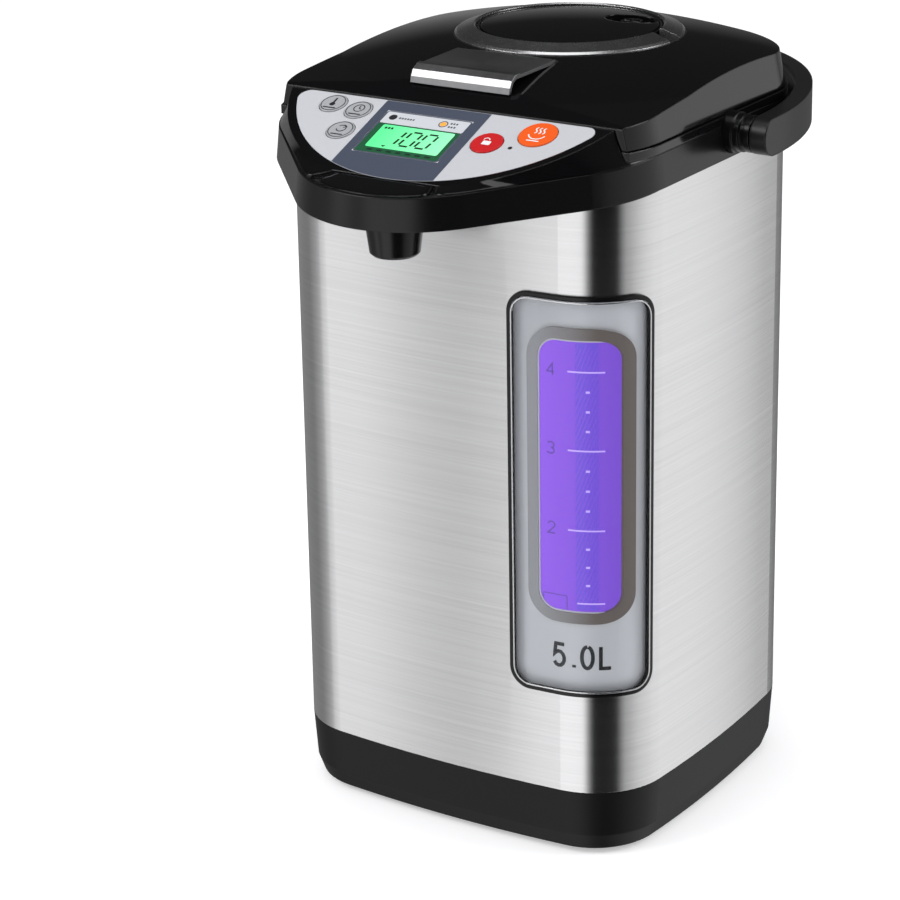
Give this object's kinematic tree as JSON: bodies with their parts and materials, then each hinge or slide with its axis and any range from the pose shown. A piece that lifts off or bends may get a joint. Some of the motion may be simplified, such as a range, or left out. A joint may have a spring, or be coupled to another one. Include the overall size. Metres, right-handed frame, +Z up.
{
  "type": "electric thermo pot",
  "caption": "Electric thermo pot with a brushed metal body, wrap-around level window, sloping control beak with spout, hinged lid with latch and swinging carry handle.",
  "frame": {"origin": "on the table plane, in the plane of the rubber feet's undersides, midway between the beak's tip and the back of the handle and between the two sides", "axes": "+Z up, -Y the front with the spout, +X the right side as seen from the front"},
  "size_m": [0.23, 0.292, 0.3584],
  "materials": {
    "black_matte": "fine matte moulding",
    "black_gloss": "polished",
    "black_satin": "satin",
    "steel": "brushed across",
    "steel_plain": "plain",
    "rubber_black": "matte",
    "silicone": "translucent white",
    "window_clear": "clear",
    "lens_violet": "lit violet",
    "frame_taupe": "satin",
    "white_plastic": "matte",
    "tube_clear": "clear",
    "overlay_silver": "metallic print",
    "display_grey": "gloss",
    "display_dark": "matte",
    "key_grey": "satin",
    "key_red": "satin",
    "key_orange": "satin",
    "ring_silver": "satin chrome",
    "latch_metal": "brushed",
    "aluminium": "cast",
    "board_green": "matte",
    "brass": "plain",
    "ivory_plastic": "matte"
  },
  "bodies": {
    "housing": {"base_shell": "black_matte", "bottom_cover": "black_matte", "rubber_feet": "rubber_black", "bottom_screws": "steel_plain", "steel_skin": "steel", "window_gasket": "black_satin", "window_cover": "window_clear", "gauge_frame": "frame_taupe", "gauge_lens": "lens_violet", "gauge_tray": "white_plastic", "level_tube": "tube_clear", "tube_fittings": "rubber_black", "inner_pot": "steel_plain", "pot_seal": "silicone", "heater_plate": "aluminium", "thermal_cutouts": "brass", "pump_motor": "steel_plain", "pump_housing": "ivory_plastic", "pump_cover": "ivory_plastic", "inlet_hose": "silicone", "riser_hose": "silicone", "outlet_pipe": "silicone", "collar_band": "black_satin", "top_bezel": "black_gloss", "control_overlay": "overlay_silver", "display_lens": "display_grey", "display_module": "display_dark", "key_board": "board_green", "spout_nozzle": "black_satin", "hinge_pin": "steel_plain", "handle_mount_left": "black_satin", "handle_mount_right": "black_satin", "power_inlet": "black_matte", "inlet_pins": "brass", "power_board": "board_green", "board_posts": "ivory_plastic"},
    "lid": {"lid_cover": "black_gloss", "lid_plug": "ivory_plastic", "lid_gasket": "silicone", "vent_ring": "ring_silver", "vent_disc": "black_gloss", "latch_pin": "steel_plain"},
    "latch": {"lid_latch": "latch_metal"},
    "carry_handle": {"handle": "black_matte"},
    "key_temperature": {"temperature_key": "key_grey"},
    "key_timer": {"timer_key": "key_grey"},
    "key_reboil": {"reboil_key": "key_grey"},
    "key_unlock": {"unlock_key": "key_red"},
    "key_dispense": {"dispense_key": "key_orange"},
    "rotor": {"impeller": "ivory_plastic"}
  },
  "joints": [
    {"name": "lid_hinge", "type": "hinge", "parent": "housing", "child": "lid", "pos_m": [0, 0.097, 0.331], "axis": [-1, 0, 0], "range_deg": [0, 78]},
    {"name": "latch_lift", "type": "hinge", "parent": "lid", "child": "latch", "pos_m": [0, -0.0272, 0.349], "axis": [-1, 0, 0], "range_deg": [0, 25], "stiffness_Nm_per_rad": 0.05, "springref_deg": -5.73},
    {"name": "handle_swing", "type": "hinge", "parent": "housing", "child": "carry_handle", "pos_m": [0, 0.01, 0.3215], "axis": [1, 0, 0], "range_deg": [0, 95]},
    {"name": "impeller_spin", "type": "hinge", "parent": "housing", "child": "rotor", "pos_m": [0.04, -0.026, 0.025], "axis": [0, 0, 1], "continuous": true},
    {"name": "temperature_press", "type": "slide", "parent": "housing", "child": "key_temperature", "axis": [0, 0.3633, -0.9317], "range_m": [0, 0.0005], "stiffness_N_per_m": 1500},
    {"name": "timer_press", "type": "slide", "parent": "housing", "child": "key_timer", "axis": [0, 0.3633, -0.9317], "range_m": [0, 0.0005], "stiffness_N_per_m": 1500},
    {"name": "reboil_press", "type": "slide", "parent": "housing", "child": "key_reboil", "axis": [0, 0.3633, -0.9317], "range_m": [0, 0.0005], "stiffness_N_per_m": 1500},
    {"name": "unlock_press", "type": "slide", "parent": "housing", "child": "key_unlock", "axis": [0, 0.3633, -0.9317], "range_m": [0, 0.0005], "stiffness_N_per_m": 1500},
    {"name": "dispense_press", "type": "slide", "parent": "housing", "child": "key_dispense", "axis": [0, 0.3633, -0.9317], "range_m": [0, 0.0005], "stiffness_N_per_m": 1500}
  ]
}
